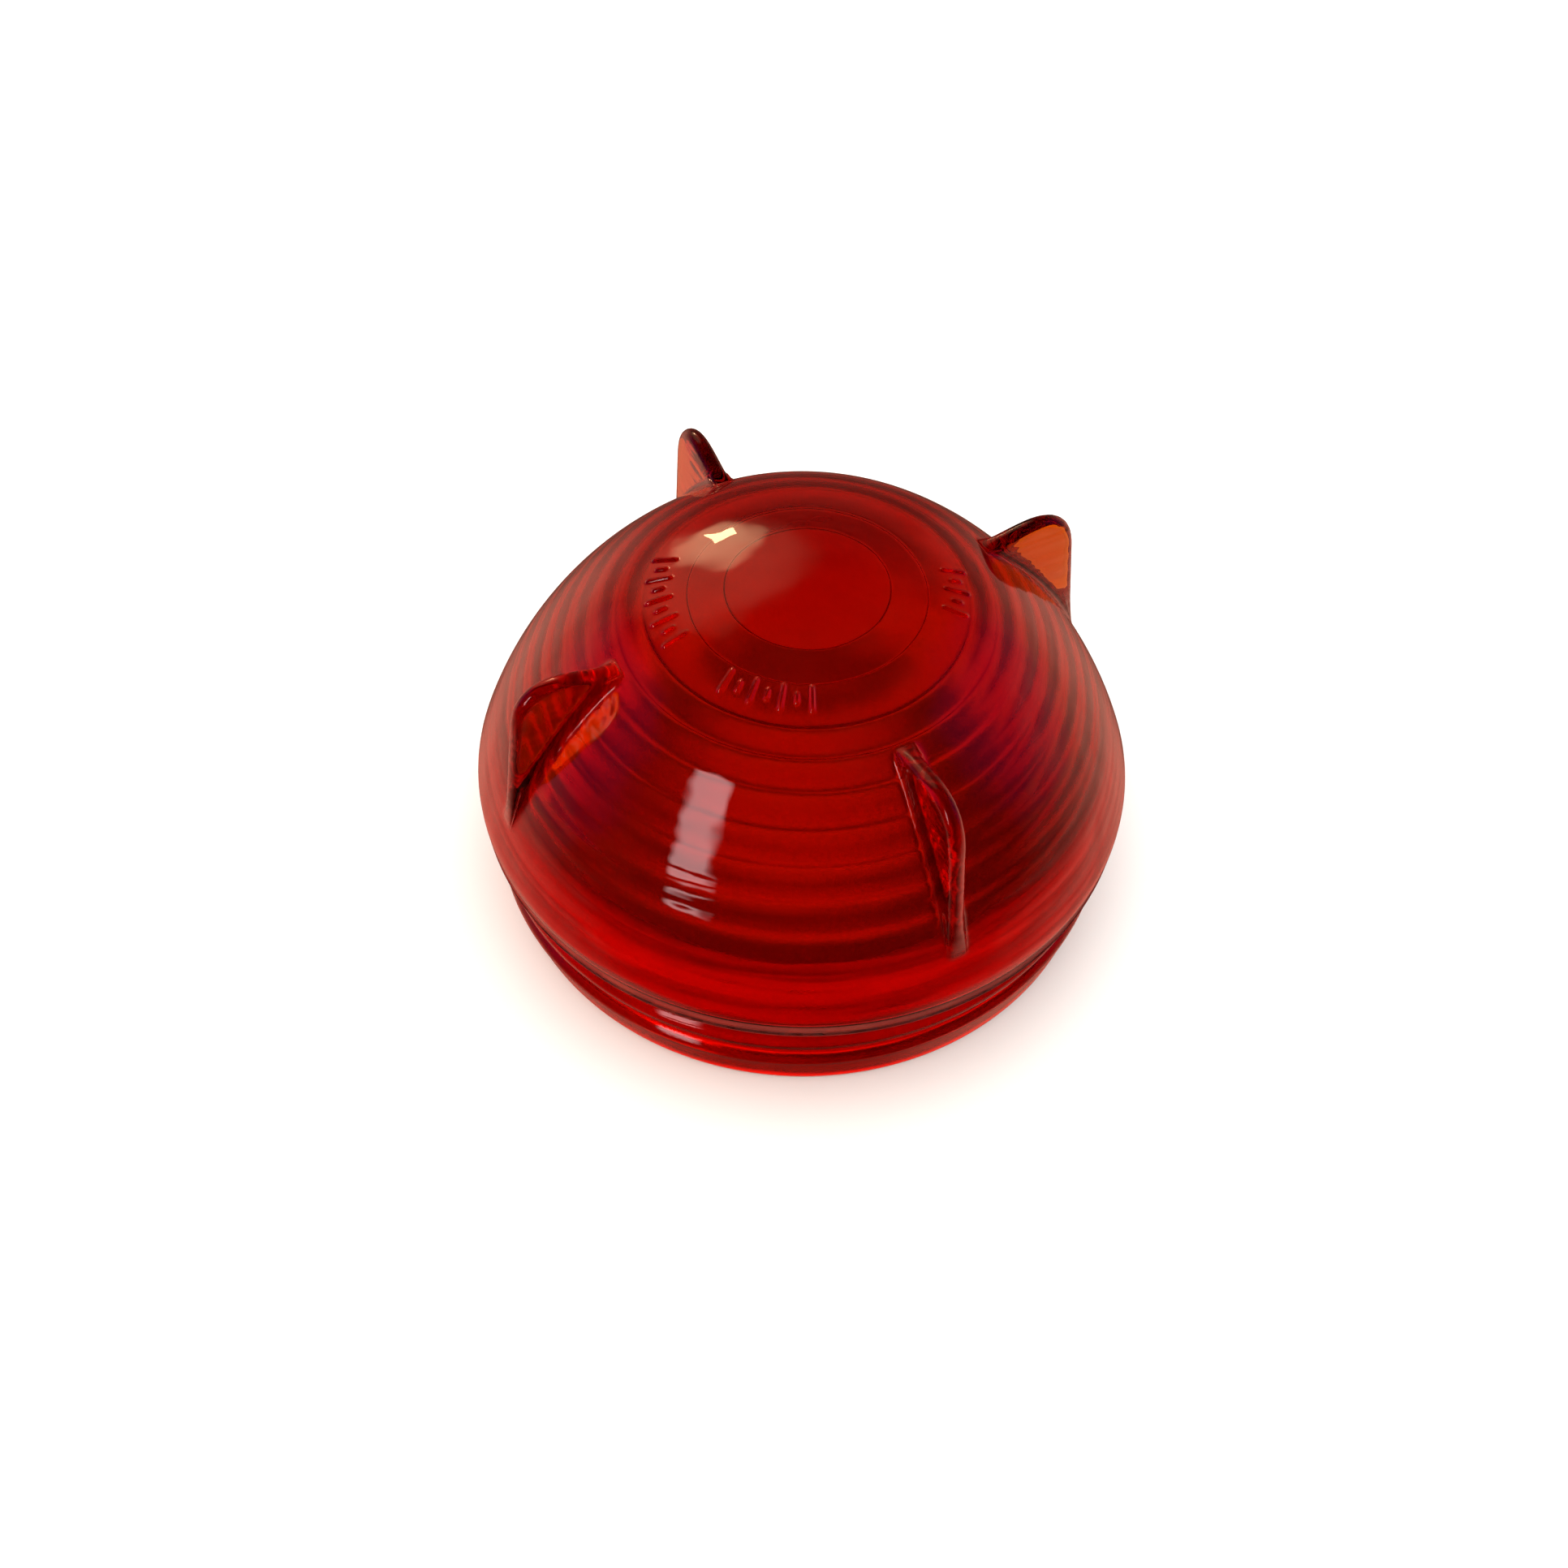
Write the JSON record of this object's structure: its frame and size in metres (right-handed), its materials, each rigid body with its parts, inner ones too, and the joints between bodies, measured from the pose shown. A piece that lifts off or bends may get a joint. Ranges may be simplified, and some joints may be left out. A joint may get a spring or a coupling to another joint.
{
  "type": "screw-in lamp lens",
  "caption": "Domed red pressed-glass screw-in lamp lens with grip fins, inner ring flutes, a coarse external thread and a rubber sealing ring under its flange.",
  "frame": {"origin": "middle of the flat rim that the lens stands on", "axes": "+Z along the lens axis, from the rim to the apex of the dome; grip fins on +X, +Y, -X and -Y"},
  "size_m": [0.1, 0.1, 0.0572],
  "materials": {
    "ruby_glass": "fire-polished pressed glass, transparent deep red",
    "seal_rubber": "matte red-brown moulded rubber"
  },
  "bodies": {
    "glass": {"lens": "ruby_glass"},
    "seal": {"sealing_ring": "seal_rubber"}
  },
  "joints": [
    {"name": "seal_slide", "type": "slide", "parent": "glass", "child": "seal", "axis": [0, 0, -1], "range_m": [0, 0.016]}
  ]
}
